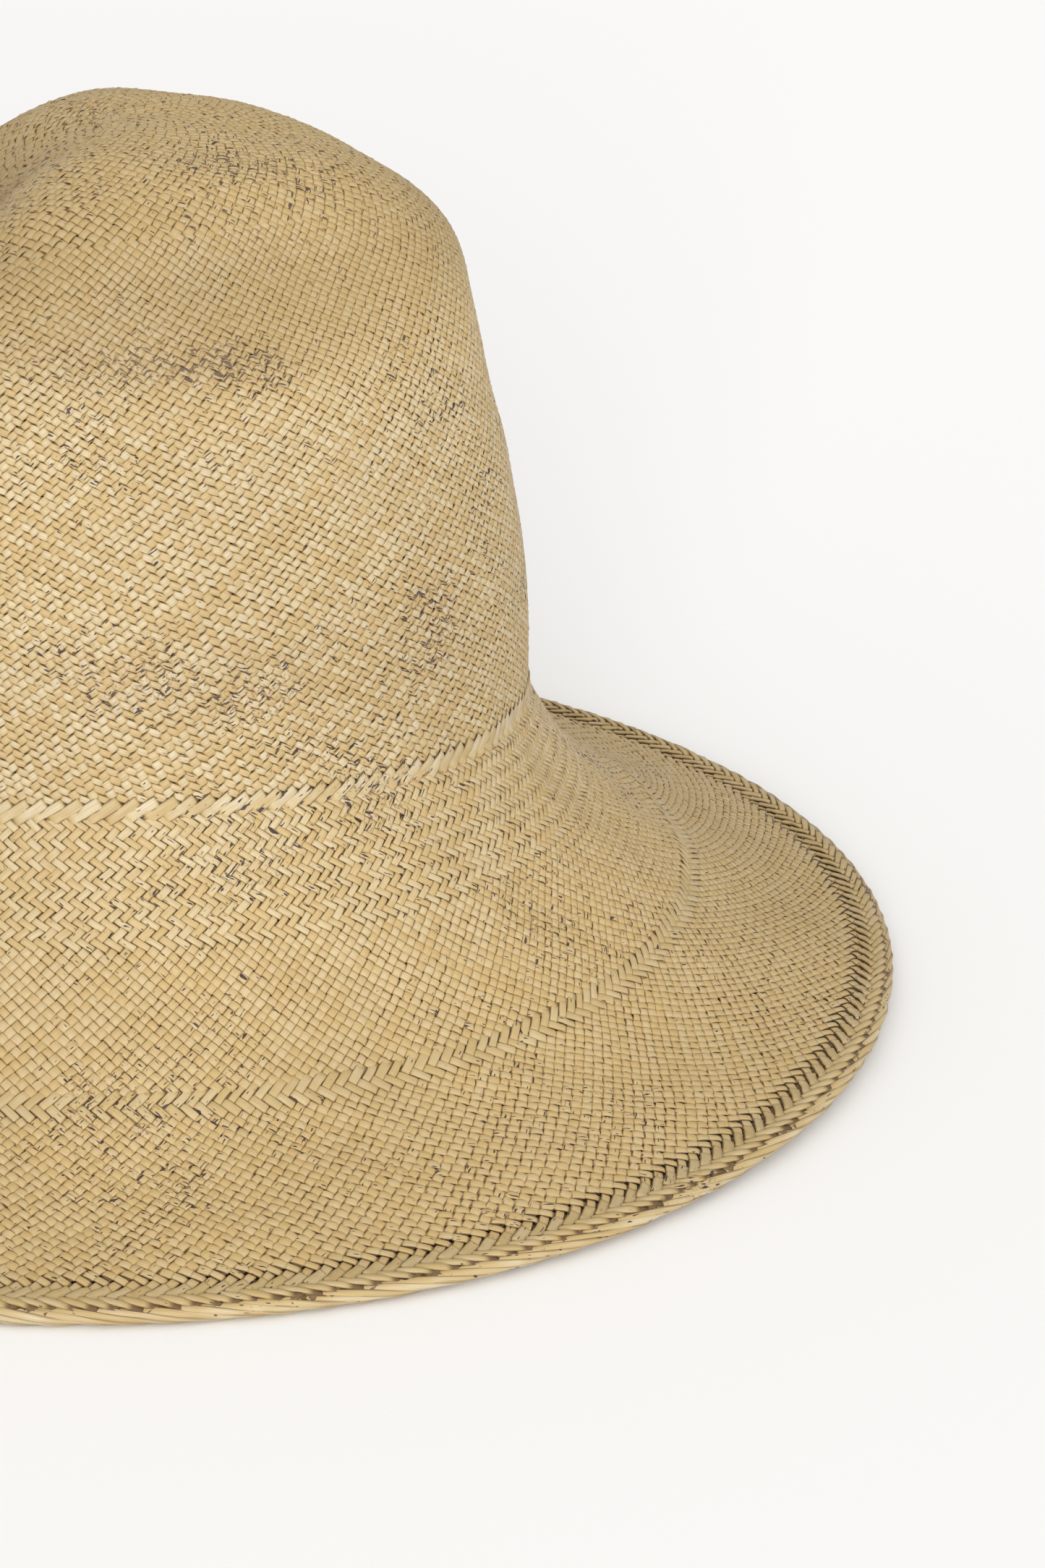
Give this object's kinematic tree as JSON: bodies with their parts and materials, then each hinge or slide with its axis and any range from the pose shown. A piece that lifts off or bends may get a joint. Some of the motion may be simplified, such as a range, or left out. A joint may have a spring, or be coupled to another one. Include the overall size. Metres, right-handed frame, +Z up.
{
  "type": "straw hat",
  "caption": "Hand-woven straw hat with a tall, softly dented crown, a down-sloping bell brim, a braided edge and a cloth sweatband; no ribbon.",
  "frame": {"origin": "on the surface that the hat rests on, below the middle of its brim", "axes": "+Z up through the crown, +X towards the wearer's front, +Y towards the wearer's left"},
  "size_m": [0.3824, 0.3444, 0.2079],
  "materials": {
    "straw": "woven plant straw, satin",
    "straw_braid": "plaited plant straw, satin",
    "sweatband_cloth": "ribbed cotton band, matte",
    "thread": "cotton thread, matte"
  },
  "bodies": {
    "root": {"crown_tip": "straw", "crown_side": "straw", "headline_braid": "straw_braid", "herringbone_band": "straw", "brim_inner_field": "straw", "brim_rib": "straw_braid", "brim_outer_field": "straw", "openwork_row": "straw", "edge_braid": "straw_braid", "rolled_edge": "straw_braid", "sweatband": "sweatband_cloth", "sweatband_bow": "sweatband_cloth", "sweatband_stitches": "thread"}
  },
  "joints": []
}
